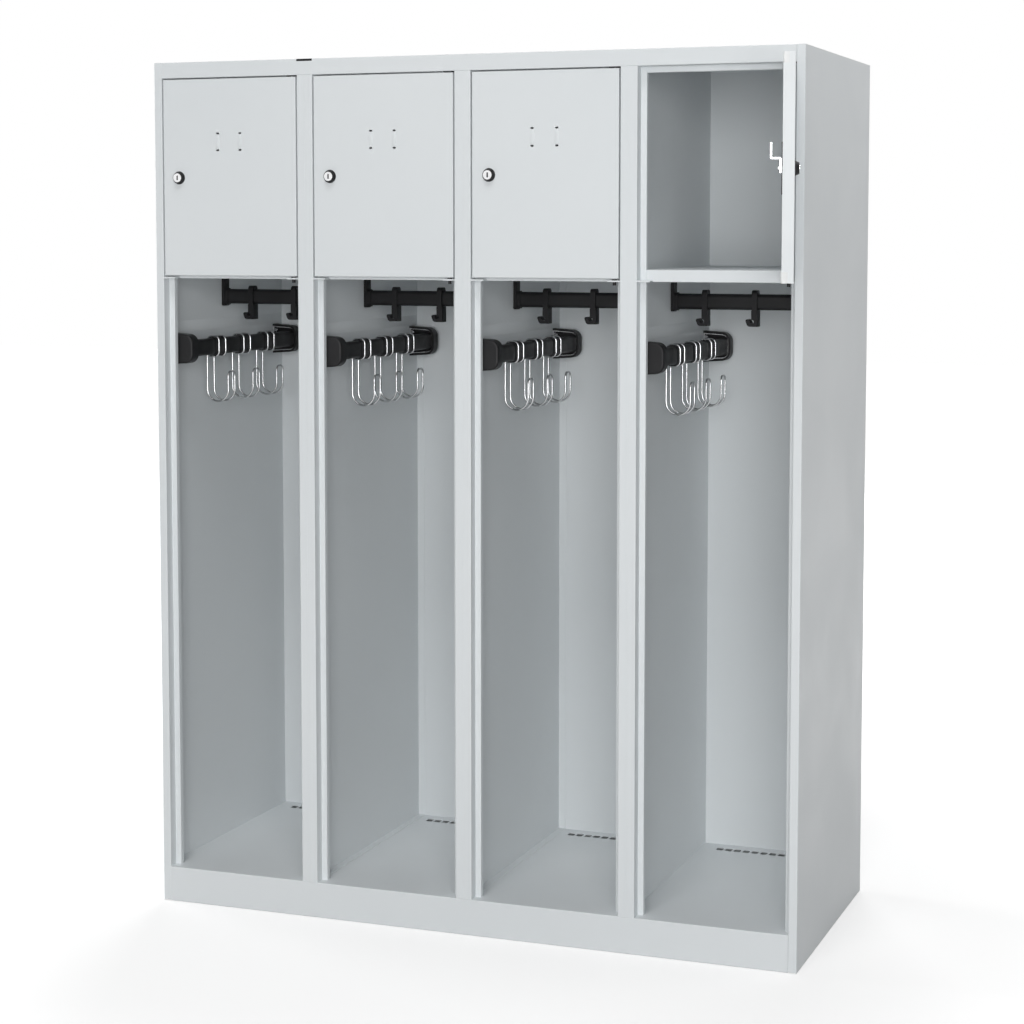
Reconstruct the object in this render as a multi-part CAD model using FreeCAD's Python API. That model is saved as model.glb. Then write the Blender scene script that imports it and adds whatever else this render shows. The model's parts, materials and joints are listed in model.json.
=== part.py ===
import FreeCAD, Part
import math
import os

from FreeCAD import Vector

# Firefighter locker: four open bays, each with a lockable box above, in folded sheet steel.
# Millimetres. +X to the viewer's right, +Y to the back, +Z up.
# The origin is on the floor under the middle of the carcass.

# Overall sizes of the carcass
BAYS = 4
BAY_WIDTH = 350.0
DEPTH = 600.0
HEIGHT = 1800.0
SHEET = 1.0
BEND = 0.6
FIT = 0.1

# Front frame
STILE = 17.5
BAND_HEIGHT = 33.0
PLINTH_HEIGHT = 75.0
PLINTH_RETURN = 25.0
STILE_LIFT = 1.5
REBATE = 24.0
STOP_LIP = 12.0
LIP_RETURN = 12.0
REAR_FLANGE = 15.0
BACK_RECESS = 10.0
WALL_FLANGE = 17.0
SEAM_WIDTH = 1.0
SEAM_DEPTH = 0.4
SEAM_CAP_HEIGHT = 4.7
SEAM_CAP_DEPTH = 8.0
SEAM_CAP_POST = 1

# Floor: air slots and the channel below
VENT_COUNT = 14
VENT_WIDTH = 15.0
VENT_LENGTH = 19.0
VENT_PITCH = 20.0
VENT_FROM_BACK = 50.0
CHANNEL_WIDTH = 60.0

# Box shelf
SHELF_TOP = 1371.0
SHELF_FRONT = 24.0
SHELF_HEM = 12.0
SHELF_SIDE = 34.0
TAB_THICKNESS = 3.0
TAB_WIDTH = 26.0
TAB_SETBACK = 1.0

# Doors
DOOR_GAP = 3.0
DOOR_LIFT = 6.5
DOOR_THICKNESS = 22.0
DOOR_LIP = 14.0
LOCK_LIP = 55.0
HINGE_RETURN = 14.0
HINGE_RELIEF = 6.0
HINGE_INSET = 10.0
HINGE_DEPTH = 7.0
DOOR_REST = (0.0, 0.0, 0.0, 104.0)
LABEL_SLOT_WIDTH = 7.0
LABEL_SLOT_HEIGHT = 3.5
LABEL_SPACING_X = 52.0
LABEL_SPACING_Z = 35.0
LABEL_FROM_TOP = 131.0

# Door corner caps, hinge pins and bushes
CAP_WIDTH = 14.0
CAP_HEIGHT = 20.0
CAP_START = 11.0
CAP_ROUND = 2.0
BUFFER_PROUD = 1.5
HINGE_BLOCK_WIDTH = 20.0
HINGE_BLOCK_HEIGHT = 12.0
PIN_DIAMETER = 4.0
PIN_PLAY = 0.05
PIN_REACH = 7.5
BUSH_DIAMETER = 7.0
BUSH_LENGTH = 10.0
BUSH_PLATE_WIDTH = 22.0
BUSH_PLATE_DEPTH = 12.0
BUSH_PLATE = 2.0
FOOT_BUSH_PLATE = 10.0

# Cylinder cam lock
LOCK_INSET = 36.5
ROSETTE_BASE = 28.0
ROSETTE_FACE = 21.0
ROSETTE_PROUD = 8.4
BARREL_DIAMETER = 19.0
PLUG_DIAMETER = 15.6
PLUG_HEAD_DIAMETER = 18.6
PLUG_HEAD_LENGTH = 3.0
PLUG_PLAY = 0.05
PLUG_PROUD = 0.5
KEY_SLOT_WIDTH = 3.0
KEY_SLOT_HEIGHT = 10.0
KEY_SLOT_DEPTH = 6.0
LOCK_PLATE_WIDTH = 30.0
LOCK_PLATE_HEIGHT = 94.0
LOCK_PLATE = 1.5
CAM_PLAY = 0.4
CAM_THICKNESS = 3.0
CAM_WIDTH = 14.0
CAM_TAIL = 8.0
CAM_BASE = 19.6
CAM_CRANK = 17.0
CAM_REACH = 46.0
PLUG_TAIL_DIAMETER = 10.0
CAM_SCREW_DIAMETER = 4.0
CAM_SCREW_LENGTH = 10.0
CAM_SCREW_HEAD = 8.5
CAM_SCREW_HEAD_HEIGHT = 3.0

# Clothes rail, its end brackets and the sliding hooks
RAIL_HEIGHT = 33.0
RAIL_DEPTH = 15.0
RAIL_WALL = 1.5
RAIL_BELOW_SHELF = 69.0
BRACKET_WIDTH = 24.0
BRACKET_THICKNESS = 6.5
BRACKET_BELOW = 4.5
BRACKET_ROUND = 4.0
COLLAR_LENGTH = 7.3
COLLAR_WALL = 2.4
RAIL_HOOKS = 3
RAIL_HOOK_FIRST = 74.0
RAIL_HOOK_PITCH = 106.0
RAIL_HOOK_WIDTH = 11.0
RAIL_HOOK_SEAT = 0.3
RAIL_HOOK_PLAY = 0.6
RAIL_HOOK_SIDE = 4.2
RAIL_HOOK_CROWN = 8.0
RAIL_HOOK_BELOW = 3.0
RAIL_HOOK_DROP = 34.0
RAIL_HOOK_DEPTH = 24.0
STEM_HALF = 6.5
STEM_NECK = 1.0
NOSE_DROP = 18.0
THROAT_DROP = 22.0
TIP_DROP = 18.5
TIP_REACH = 20.0
TIP_THICKNESS = 8.0
TIP_ROUND = 3.5
HOOK_FLOOR = 7.0
HEEL_REACH = 14.0

# Hook bar on the left wall of each bay
BAR_CENTRE = 1195.5
BAR_FROM_WALL = 43.0
BAR_WIDTH = 22.0
BAR_HEIGHT = 36.0
BAR_ROUND = 7.0
BAR_FRONT = 40.0
BAR_REAR = 570.0
SEAT_RISE = 1.4
SEAT_LENGTH = 44.0
SEAT_TAPER = 5.0
CUP_REACH = 61.0
CUP_HALF_ROOT = 34.0
CUP_HALF_NOSE = 30.0
CUP_ROUND = 20.0
CUP_WALL = 4.5
CUP_LENGTH = 28.0
CUP_EDGE = 4.5
BAND_THICKNESS = 1.5
BAND_WIDTH = 18.0
BAND_PLAY = 0.3
BAND_FOOT = 14.0

# Double-wire hooks on the bar
WIRE_HOOKS = 3
WIRE_HOOK_PITCH = 118.0
WIRE_DIAMETER = 4.0
WIRE_SPACING = 31.0
WIRE_PLAY = 0.2
WIRE_WIDTH = 51.0
WIRE_BOTTOM = 120.5
WIRE_TIP = 55.5
WIRE_TIP_ROUND = 10.0
WIRE_END = 5.0

# Fixings
SCREW_DIAMETER = 4.0
SCREW_HEAD = 8.0
SCREW_HEAD_HEIGHT = 2.5
SCREW_BELOW_SHELF = 17.0
STUD_LENGTH = 7.0
NUT_ACROSS = 8.0
NUT_HEIGHT = 3.2

# Worked-out places
WIDTH = BAYS * BAY_WIDTH
Y_FRONT = -DEPTH / 2
Y_BACK = DEPTH / 2
Y_STOP = Y_FRONT + REBATE
Y_LIP_END = Y_STOP + LIP_RETURN
Y_INNER_BACK = Y_BACK - BACK_RECESS
Z_BAND = HEIGHT - BAND_HEIGHT
Z_ROOF = HEIGHT - SHEET
Z_SHELF_FOOT = SHELF_TOP - SHELF_FRONT
DOOR_BOTTOM = Z_SHELF_FOOT + DOOR_LIFT
DOOR_TOP = Z_BAND - DOOR_GAP
HINGE_Y = Y_FRONT + HINGE_DEPTH
LOCK_Z = (DOOR_BOTTOM + DOOR_TOP) / 2
RAIL_Z = SHELF_TOP - SHEET - RAIL_BELOW_SHELF
RAIL_FOOT = RAIL_Z - RAIL_HEIGHT / 2
RAIL_CREST = RAIL_Z + RAIL_HEIGHT / 2
WIRE_RADIUS = WIRE_DIAMETER / 2
ALONG_Y = Vector(0, 1, 0)
ALONG_Z = Vector(0, 0, 1)


# Places of the bays
def bay_edge(bay):
    """X of the left boundary of a bay; the bay after the last gives the right end."""
    return -WIDTH / 2 + bay * BAY_WIDTH


def left_wall(bay):
    """X of the inner face of the wall on a bay's left."""
    return bay_edge(bay) + (SHEET if bay == 0 else SHEET / 2)


def right_wall(bay):
    """X of the inner face of the wall on a bay's right."""
    return bay_edge(bay + 1) - (SHEET if bay == BAYS - 1 else SHEET / 2)


def door_left(bay):
    """X of the free edge of a closed door."""
    return bay_edge(bay) + STILE + DOOR_GAP


def door_right(bay):
    """X of the hinge edge of a closed door."""
    return bay_edge(bay + 1) - STILE - DOOR_GAP


def hinge_x(bay):
    """X of a door's hinge line."""
    return door_right(bay) - HINGE_INSET


# Planes for flat outlines: each turns (u, v) into a point
def plane_z(z):
    """Outlines of (x, y) at a height."""
    return lambda u, v: Vector(u, v, z)


def plane_x(x):
    """Outlines of (y, z) at an x."""
    return lambda u, v: Vector(x, u, v)


def plane_y(y):
    """Outlines of (x, z) at a y."""
    return lambda u, v: Vector(u, y, v)


# Solids
def box(x0, x1, y0, y1, z0, z1):
    """A block between two corners."""
    return Part.makeBox(x1 - x0, y1 - y0, z1 - z0, Vector(x0, y0, z0))


def rod(diameter, start, end):
    """A round bar between two points."""
    way = end - start
    return Part.makeCylinder(diameter / 2, way.Length, start, way)


def rounded_edges(points, radii, closed):
    """Straight runs through points, with the corner at each point rounded by its own radius."""
    count = len(points)
    corners = []
    for i, point in enumerate(points):
        at_end = not closed and i in (0, count - 1)
        if at_end or radii[i] == 0:
            corners.append((point, None, point))
            continue
        into = (point - points[i - 1]).normalize()
        out = (points[(i + 1) % count] - point).normalize()
        half_turn = into.getAngle(out) / 2
        reach = radii[i] * math.tan(half_turn)
        inward = (out - into).normalize()
        middle = point + inward * (radii[i] / math.cos(half_turn) - radii[i])
        corners.append((point - into * reach, middle, point + out * reach))
    edges = []
    for i, (start, middle, end) in enumerate(corners):
        before = corners[i - 1][2]
        if (closed or i > 0) and before.distanceToPoint(start) > 1e-6:
            edges.append(Part.LineSegment(before, start).toShape())
        if middle is not None:
            edges.append(Part.Arc(start, middle, end).toShape())
    return edges


def prism(outline, plane, along):
    """An outline of (u, v) or (u, v, corner radius) points, pushed along a vector."""
    points = [plane(corner[0], corner[1]) for corner in outline]
    radii = [corner[2] if len(corner) > 2 else 0 for corner in outline]
    return Part.Face(Part.Wire(rounded_edges(points, radii, True))).extrude(along)


def folded(path, plane, along, thickness=SHEET, bend=BEND):
    """A sheet bent along the (u, v) path of one face, its thickness on the right of the path."""
    ways = []
    for (u0, v0), (u1, v1) in zip(path, path[1:]):
        length = math.hypot(u1 - u0, v1 - v0)
        ways.append(((u1 - u0) / length, (v1 - v0) / length))
    near = []
    far = []
    for i, (u, v) in enumerate(path):
        into = ways[max(i - 1, 0)]
        out = ways[min(i, len(ways) - 1)]
        spread = 1 + into[0] * out[0] + into[1] * out[1]
        off_u = (into[1] + out[1]) / spread * thickness
        off_v = -(into[0] + out[0]) / spread * thickness
        turn = into[0] * out[1] - into[1] * out[0]
        near.append((u, v, 0 if turn == 0 else bend + (thickness if turn < 0 else 0)))
        far.append((u + off_u, v + off_v, 0 if turn == 0 else bend + (thickness if turn > 0 else 0)))
    return prism(near + far[::-1], plane, along)


def capsule(half_y, half_z, centre_z, x0, x1):
    """An upright oval bar along X, with full round top and bottom."""
    outline = [(-half_y, centre_z - half_z, half_y), (half_y, centre_z - half_z, half_y),
               (half_y, centre_z + half_z, half_y), (-half_y, centre_z + half_z, half_y)]
    return prism(outline, plane_x(x0), Vector(x1 - x0, 0, 0))


def joined(shapes):
    """One clean solid from shapes that meet."""
    return shapes[0].fuse(shapes[1:]).removeSplitter().Solids[0]


def mirrored_x(shape, x):
    """A copy mirrored across an upright plane at x."""
    return shape.mirror(Vector(x, 0, 0), Vector(1, 0, 0))


def mirrored_y(shape, y):
    """A copy mirrored across an upright plane at y."""
    return shape.mirror(Vector(0, y, 0), Vector(0, 1, 0))


# Carcass
def side_panel():
    """The left side: outer wall, front stile, rebate, stop lip and rear flange in one folded sheet."""
    x = bay_edge(0)
    path = [(x + STILE + STOP_LIP, Y_LIP_END), (x + STILE + STOP_LIP, Y_STOP), (x + STILE, Y_STOP),
            (x + STILE, Y_FRONT), (x, Y_FRONT), (x, Y_BACK), (x + REAR_FLANGE, Y_BACK)]
    panel = folded(path, plane_z(0), ALONG_Z * Z_ROOF)
    over = STOP_LIP + SHEET
    below_lip = box(x + STILE, x + STILE + over, Y_STOP - SHEET, Y_LIP_END + SHEET, -SHEET, PLINTH_HEIGHT)
    above_lip = box(x + STILE, x + STILE + over, Y_STOP - SHEET, Y_LIP_END + SHEET, Z_BAND, HEIGHT)
    foot = box(x + BEND + SHEET, x + STILE + SHEET, Y_FRONT - SHEET, Y_STOP + 2 * SHEET, -SHEET, STILE_LIFT)
    return panel.cut([below_lip, above_lip, foot]).Solids[0]


def top_panel():
    """Roof with the front band, the door rebate, a stop lip over each bay and a rear flange."""
    inner = WIDTH / 2 - max(STILE, REAR_FLANGE)
    path = [(Y_LIP_END, Z_BAND - STOP_LIP), (Y_STOP, Z_BAND - STOP_LIP), (Y_STOP, Z_BAND), (Y_FRONT, Z_BAND),
            (Y_FRONT, HEIGHT), (Y_BACK, HEIGHT), (Y_BACK, HEIGHT - REAR_FLANGE)]
    roof = folded(path, plane_x(-inner), Vector(2 * inner, 0, 0))
    wing = box(-WIDTH / 2, -inner, Y_FRONT, Y_BACK, Z_ROOF, HEIGHT)
    roof = joined([roof, wing, mirrored_x(wing, 0)])
    cuts = []
    for post in range(BAYS + 1):
        x = bay_edge(post)
        reach = STILE + STOP_LIP + FIT
        cuts.append(box(x - reach, x + reach, Y_STOP - SHEET, Y_LIP_END + SHEET, Z_BAND - 2 * STOP_LIP, Z_BAND))
    for bay in range(BAYS):
        seat = Vector(hinge_x(bay), HINGE_Y, Z_BAND - SHEET)
        cuts.append(rod(BUSH_DIAMETER + 2 * FIT, seat, seat + ALONG_Z * 3 * SHEET))
    cuts.append(seam_cap(0))
    return roof.cut(cuts).Solids[0]


def seam_cap(play):
    """The plastic cap let into the front top edge above one post."""
    x = bay_edge(SEAM_CAP_POST)
    return box(x - STILE + play, x + STILE - play, Y_FRONT, Y_FRONT + SEAM_CAP_DEPTH - play,
               HEIGHT - SEAM_CAP_HEIGHT + play, HEIGHT)


def base_pan():
    """Floor and plinth in one folded sheet, with air slots and a welded channel that stands on the ground."""
    inner = WIDTH / 2 - STILE
    across = Vector(2 * inner, 0, 0)
    path = [(Y_FRONT + PLINTH_RETURN, 0), (Y_FRONT, 0), (Y_FRONT, PLINTH_HEIGHT), (Y_INNER_BACK, PLINTH_HEIGHT)]
    pan = folded(path, plane_x(-inner), across)
    wing = box(-WIDTH / 2 + SHEET, -inner, Y_STOP + SHEET, Y_INNER_BACK, PLINTH_HEIGHT - SHEET, PLINTH_HEIGHT)
    half = CHANNEL_WIDTH / 2
    roof = PLINTH_HEIGHT - SHEET
    channel = folded([(half, roof), (half, 0), (-half, 0), (-half, roof)], plane_x(-inner), across)
    pan = joined([pan, wing, mirrored_x(wing, 0), channel])
    slots = []
    y = Y_BACK - VENT_FROM_BACK
    for bay in range(BAYS):
        first = bay_edge(bay) + BAY_WIDTH / 2 - VENT_PITCH * (VENT_COUNT - 1) / 2
        for i in range(VENT_COUNT):
            x = first + i * VENT_PITCH
            slots.append(box(x - VENT_WIDTH / 2, x + VENT_WIDTH / 2, y - VENT_LENGTH / 2, y + VENT_LENGTH / 2,
                             PLINTH_HEIGHT - 2 * SHEET, PLINTH_HEIGHT + SHEET))
    return pan.cut(slots).Solids[0]


def back_panel():
    """Flat rear sheet between the sides."""
    inner = WIDTH / 2 - SHEET
    return box(-inner, inner, Y_INNER_BACK, Y_INNER_BACK + SHEET, 0, Z_ROOF)


def divider(post):
    """Wall between two bays: a hat-shaped front post on a web, with a rear and a floor flange."""
    x = bay_edge(post)
    reach = STILE + STOP_LIP
    path = [(x + reach, Y_LIP_END), (x + reach, Y_STOP), (x + STILE, Y_STOP), (x + STILE, Y_FRONT),
            (x - STILE, Y_FRONT), (x - STILE, Y_STOP), (x - reach, Y_STOP), (x - reach, Y_LIP_END)]
    hat = folded(path, plane_z(PLINTH_HEIGHT), ALONG_Z * (Z_BAND - PLINTH_HEIGHT))
    half = SHEET / 2
    web = box(x - half, x + half, Y_FRONT + SHEET, Y_INNER_BACK, PLINTH_HEIGHT, Z_BAND)
    head = box(x - half, x + half, Y_LIP_END, Y_INNER_BACK, Z_BAND, Z_ROOF)
    rear = box(x, x + WALL_FLANGE, Y_INNER_BACK - SHEET, Y_INNER_BACK, PLINTH_HEIGHT, Z_ROOF)
    floor = box(x, x + WALL_FLANGE, Y_LIP_END, Y_INNER_BACK, PLINTH_HEIGHT, PLINTH_HEIGHT + SHEET)
    if post == BAYS - 1:
        rear = mirrored_x(rear, x)
        floor = mirrored_x(floor, x)
    seam = box(x - SEAM_WIDTH / 2, x + SEAM_WIDTH / 2, Y_FRONT - SHEET, Y_FRONT + SEAM_DEPTH, 0, HEIGHT)
    return joined([hat, web, head, rear, floor]).cut(seam).Solids[0]


def shelf(bay):
    """Floor of a locker box: folded front, two side flanges and the two tabs that carry the door."""
    x0 = left_wall(bay)
    x1 = right_wall(bay)
    lip0 = bay_edge(bay) + STILE + STOP_LIP + FIT
    lip1 = bay_edge(bay + 1) - STILE - STOP_LIP - FIT
    rear = Y_INNER_BACK - SHEET - FIT
    behind = Y_LIP_END + FIT
    path = [(Y_STOP + SHELF_HEM, Z_SHELF_FOOT), (Y_STOP, Z_SHELF_FOOT), (Y_STOP, SHELF_TOP), (rear, SHELF_TOP)]
    pieces = [folded(path, plane_x(lip0), Vector(lip1 - lip0, 0, 0))]
    for wall, edge, flange in ((x0, lip0, x0 + SHEET), (x1, lip1, x1 - SHEET)):
        pieces.append(box(min(wall, edge), max(wall, edge), behind, rear, SHELF_TOP - SHEET, SHELF_TOP))
        pieces.append(box(min(wall, flange), max(wall, flange), behind, rear, SHELF_TOP - SHELF_SIDE, SHELF_TOP))
    for edge, root, way in ((bay_edge(bay) + STILE + FIT, lip0, 1), (bay_edge(bay + 1) - STILE - FIT, lip1, -1)):
        end = edge + way * TAB_WIDTH
        outline = [(edge, Y_FRONT + TAB_SETBACK), (end, Y_FRONT + TAB_SETBACK), (end, Y_STOP + SHEET),
                   (root, Y_STOP + SHEET), (root, Y_STOP - FIT), (edge, Y_STOP - FIT)]
        pieces.append(prism(outline, plane_z(Z_SHELF_FOOT), ALONG_Z * TAB_THICKNESS))
    seat = Vector(hinge_x(bay), HINGE_Y, Z_SHELF_FOOT - SHEET)
    holes = [rod(BUSH_DIAMETER + 2 * FIT, seat, seat + ALONG_Z * (TAB_THICKNESS + 2 * SHEET))]
    for x in (x0, x1):
        holes.append(rod(SCREW_DIAMETER + 2 * FIT, Vector(x - 2 * SHEET, 0, SHELF_TOP - SCREW_BELOW_SHELF),
                         Vector(x + 2 * SHEET, 0, SHELF_TOP - SCREW_BELOW_SHELF)))
    return joined(pieces).cut(holes).Solids[0]


# Clothes rail
def clothes_rail(bay):
    """Oval tube between the end brackets."""
    x0 = left_wall(bay) + SHEET + BRACKET_THICKNESS
    x1 = right_wall(bay) - SHEET - BRACKET_THICKNESS
    tube = capsule(RAIL_DEPTH / 2, RAIL_HEIGHT / 2, RAIL_Z, x0, x1)
    bore = capsule(RAIL_DEPTH / 2 - RAIL_WALL, RAIL_HEIGHT / 2 - RAIL_WALL, RAIL_Z, x0 - SHEET, x1 + SHEET)
    return tube.cut(bore).Solids[0]


def rail_bracket(wall):
    """Moulded hanger for the left end of a rail, screwed to the shelf's side flange."""
    x0 = wall + SHEET
    x1 = x0 + BRACKET_THICKNESS
    half = BRACKET_WIDTH / 2
    foot = RAIL_FOOT - BRACKET_BELOW
    head = SHELF_TOP - SHEET
    outline = [(-half, foot, BRACKET_ROUND), (half, foot, BRACKET_ROUND), (half, head), (-half, head)]
    strap = prism(outline, plane_x(x0), Vector(BRACKET_THICKNESS, 0, 0))
    collar = capsule(RAIL_DEPTH / 2 + COLLAR_WALL, RAIL_HEIGHT / 2 + COLLAR_WALL, RAIL_Z, x0, x1 + COLLAR_LENGTH)
    bore = capsule(RAIL_DEPTH / 2 + FIT, RAIL_HEIGHT / 2 + FIT, RAIL_Z, x1, x1 + 2 * COLLAR_LENGTH)
    z = SHELF_TOP - SCREW_BELOW_SHELF
    hole = rod(SCREW_DIAMETER + 2 * FIT, Vector(x0 - SHEET, 0, z), Vector(x1 + SHEET, 0, z))
    return joined([strap, collar]).cut([bore, hole]).Solids[0]


def rail_screw(wall):
    """Pan-head screw through a rail bracket into the shelf flange on a left wall."""
    face = wall + SHEET + BRACKET_THICKNESS
    z = SHELF_TOP - SCREW_BELOW_SHELF
    shank = rod(SCREW_DIAMETER, Vector(wall + FIT, 0, z), Vector(face, 0, z))
    head = rod(SCREW_HEAD, Vector(face, 0, z), Vector(face + SCREW_HEAD_HEIGHT, 0, z))
    return joined([shank, head])


def rail_hook(bay, number):
    """Sliding hook: a loop round the rail, a stem below it and a lip turned to the left."""
    x = bay_edge(bay) + RAIL_HOOK_FIRST + number * RAIL_HOOK_PITCH
    half = RAIL_HOOK_WIDTH / 2
    side = RAIL_DEPTH / 2 + RAIL_HOOK_PLAY + RAIL_HOOK_SIDE
    foot = RAIL_FOOT - RAIL_HOOK_PLAY - RAIL_HOOK_BELOW
    crest = RAIL_CREST + RAIL_HOOK_CROWN
    crown = side - RAIL_HOOK_SIDE
    outline = [(-side, foot), (side, foot), (side, crest, crown), (-side, crest, crown)]
    loop = prism(outline, plane_x(x - half), Vector(RAIL_HOOK_WIDTH, 0, 0))
    slack = RAIL_HOOK_PLAY - RAIL_HOOK_SEAT
    bore = capsule(RAIL_DEPTH / 2 + RAIL_HOOK_PLAY, RAIL_HEIGHT / 2 + RAIL_HOOK_PLAY - slack / 2,
                   RAIL_Z - slack / 2, x - 2 * half, x + 2 * half)
    top = foot + RAIL_HOOK_BELOW
    heel = RAIL_FOOT - RAIL_HOOK_DROP
    tip = RAIL_FOOT - TIP_DROP
    bed = heel + HOOK_FLOOR
    outline = [(x + STEM_HALF, heel), (x + STEM_HALF, top), (x - STEM_HALF, top),
               (x - STEM_HALF, RAIL_FOOT - NOSE_DROP), (x - STEM_NECK, RAIL_FOOT - THROAT_DROP),
               (x - STEM_NECK, bed), (x - TIP_REACH + TIP_THICKNESS + HOOK_FLOOR / 2, bed),
               (x - TIP_REACH + TIP_THICKNESS, tip, TIP_ROUND), (x - TIP_REACH, tip, TIP_ROUND),
               (x - HEEL_REACH, heel, HOOK_FLOOR)]
    stem = prism(outline, plane_y(-RAIL_HOOK_DEPTH / 2), ALONG_Y * RAIL_HOOK_DEPTH)
    return joined([loop, stem]).cut(bore).Solids[0]


# Hook bar and its hooks
def cup_outline(wall, inset, root):
    """The D-shaped outline of a bar end, taken in by an inset, from a root line near the wall."""
    nose = wall + CUP_REACH - inset
    slope = (CUP_HALF_ROOT - CUP_HALF_NOSE) / CUP_REACH
    low = CUP_HALF_NOSE - inset
    high = low + slope * (nose - root)
    bend = CUP_ROUND - inset
    return [(root, BAR_CENTRE - high), (nose, BAR_CENTRE - low, bend),
            (nose, BAR_CENTRE + low, bend), (root, BAR_CENTRE + high)]


def bar_section(wall, rise, y):
    """Closed outline of the bar, grown by a rise, at a depth y."""
    x = wall + BAR_FROM_WALL
    half_x = BAR_WIDTH / 2 + rise
    half_z = BAR_HEIGHT / 2 + rise
    place = plane_y(y)
    points = [place(x - half_x, BAR_CENTRE - half_z), place(x + half_x, BAR_CENTRE - half_z),
              place(x + half_x, BAR_CENTRE + half_z), place(x - half_x, BAR_CENTRE + half_z)]
    return Part.Wire(rounded_edges(points, [BAR_ROUND + rise] * 4, True))


def bar_ends():
    """Y of the front and of the rear face of a hook bar."""
    return Y_FRONT + BAR_FRONT, Y_FRONT + BAR_REAR


def wire_hook_places():
    """Y of each double-wire hook along the bar."""
    first = -WIRE_HOOK_PITCH * (WIRE_HOOKS - 1) / 2
    return [first + i * WIRE_HOOK_PITCH for i in range(WIRE_HOOKS)]


def hook_bar(bay):
    """Moulded bar along the left wall, with a cup at each end and a raised seat under each hook."""
    wall = left_wall(bay)
    front, rear = bar_ends()
    shell = prism(cup_outline(wall, 0, wall), plane_y(front), ALONG_Y * CUP_LENGTH)
    rim = [edge for edge in shell.Edges
           if edge.BoundBox.YMax < front + SHEET and edge.BoundBox.XMax > wall + SHEET]
    shell = shell.makeFillet(CUP_EDGE, rim)
    hollow = prism(cup_outline(wall, CUP_WALL, wall - SHEET), plane_y(front + CUP_WALL), ALONG_Y * CUP_LENGTH)
    cup = shell.cut(hollow)
    centre = (front + rear) / 2
    start = front + CUP_WALL / 2
    bar = Part.Face(bar_section(wall, 0, start)).extrude(ALONG_Y * (rear - front - CUP_WALL))
    pieces = [bar, cup, mirrored_y(cup, centre)]
    flat = SEAT_LENGTH / 2
    for y in wire_hook_places():
        steps = ((-flat - SEAT_TAPER, 0), (-flat, SEAT_RISE), (flat, SEAT_RISE), (flat + SEAT_TAPER, 0))
        pieces.append(Part.makeLoft([bar_section(wall, rise, y + step) for step, rise in steps], True, True))
    return joined(pieces)


def bar_bracket(bay):
    """Steel band inside the front cup of a bar, with two feet on the wall."""
    wall = left_wall(bay)
    y = bar_ends()[0] + CUP_WALL + BAND_PLAY
    along = ALONG_Y * BAND_WIDTH
    inset = CUP_WALL + BAND_PLAY
    band = prism(cup_outline(wall, inset, wall), plane_y(y), along)
    band = band.cut(prism(cup_outline(wall, inset + BAND_THICKNESS, wall - SHEET), plane_y(y), along))
    pieces = [band]
    holes = []
    for side in (-1, 1):
        end = BAR_CENTRE + side * (cup_height_at_wall(inset) - BAND_THICKNESS / 2)
        inner = end - side * BAND_FOOT
        pieces.append(box(wall, wall + BAND_THICKNESS, y, y + BAND_WIDTH, min(end, inner), max(end, inner)))
        stud = stud_place(wall, side)
        holes.append(rod(SCREW_DIAMETER + 2 * FIT, stud - Vector(SHEET, 0, 0),
                         stud + Vector(BAND_THICKNESS + SHEET, 0, 0)))
    return joined(pieces).cut(holes).Solids[0]


def cup_height_at_wall(inset):
    """Half height of the D outline where it meets the wall."""
    slope = (CUP_HALF_ROOT - CUP_HALF_NOSE) / CUP_REACH
    return CUP_HALF_NOSE - inset + slope * (CUP_REACH - inset)


def stud_place(wall, side):
    """Point on the wall where a stud holds the lower or upper foot of a front band."""
    inset = CUP_WALL + BAND_PLAY
    z = BAR_CENTRE + side * (cup_height_at_wall(inset) - BAND_THICKNESS / 2 - BAND_FOOT / 2 - SHEET)
    return Vector(wall, bar_ends()[0] + inset + BAND_WIDTH / 2, z)


def wall_stud(bay, side):
    """Weld stud on the left wall with its hexagon nut on a band foot."""
    start = stud_place(left_wall(bay), side)
    stud = rod(SCREW_DIAMETER, start, start + Vector(STUD_LENGTH, 0, 0))
    radius = NUT_ACROSS / math.sqrt(3)
    corners = [math.radians(60 * i) for i in range(6)]
    outline = [(start.y + radius * math.cos(turn), start.z + radius * math.sin(turn)) for turn in corners]
    nut = prism(outline, plane_x(start.x + BAND_THICKNESS), Vector(NUT_HEIGHT, 0, 0))
    return joined([stud, nut])


def wire_hook(bay, y):
    """One wire bent into a double hook: it wraps the bar twice, drops, turns up and closes at the tip."""
    x = left_wall(bay) + BAR_FROM_WALL
    off = SEAT_RISE + WIRE_PLAY + WIRE_RADIUS
    half_x = BAR_WIDTH / 2 + off
    half_z = BAR_HEIGHT / 2 + off
    corner = BAR_ROUND + off
    bow = WIRE_WIDTH / 2
    half_gap = WIRE_SPACING / 2
    below = BAR_CENTRE - half_z
    above = BAR_CENTRE + half_z
    leg = x - half_x
    tip = leg + WIRE_WIDTH
    low = BAR_CENTRE - WIRE_BOTTOM
    high = BAR_CENTRE - WIRE_TIP
    turns = [(leg + corner - WIRE_END, below, 0), (x + half_x, below, corner), (x + half_x, above, corner),
             (leg, above, corner), (leg, low, bow), (tip, low, bow), (tip, high, WIRE_TIP_ROUND)]
    points = [Vector(u, y - half_gap, v) for u, v, _ in turns]
    points += [Vector(u, y + half_gap, v) for u, v, _ in turns[::-1]]
    radii = [turn[2] for turn in turns] + [turn[2] for turn in turns[::-1]]
    path = Part.Wire(rounded_edges(points, radii, False))
    section = Part.Wire(Part.makeCircle(WIRE_RADIUS, points[0], Vector(1, 0, 0)))
    return path.makePipeShell([section], True, False)


# Doors
def opened(shape, bay):
    """Turns a piece of a closed door to the door's rest angle."""
    shape.rotate(Vector(hinge_x(bay), HINGE_Y, 0), ALONG_Z, DOOR_REST[bay])
    return shape


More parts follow.
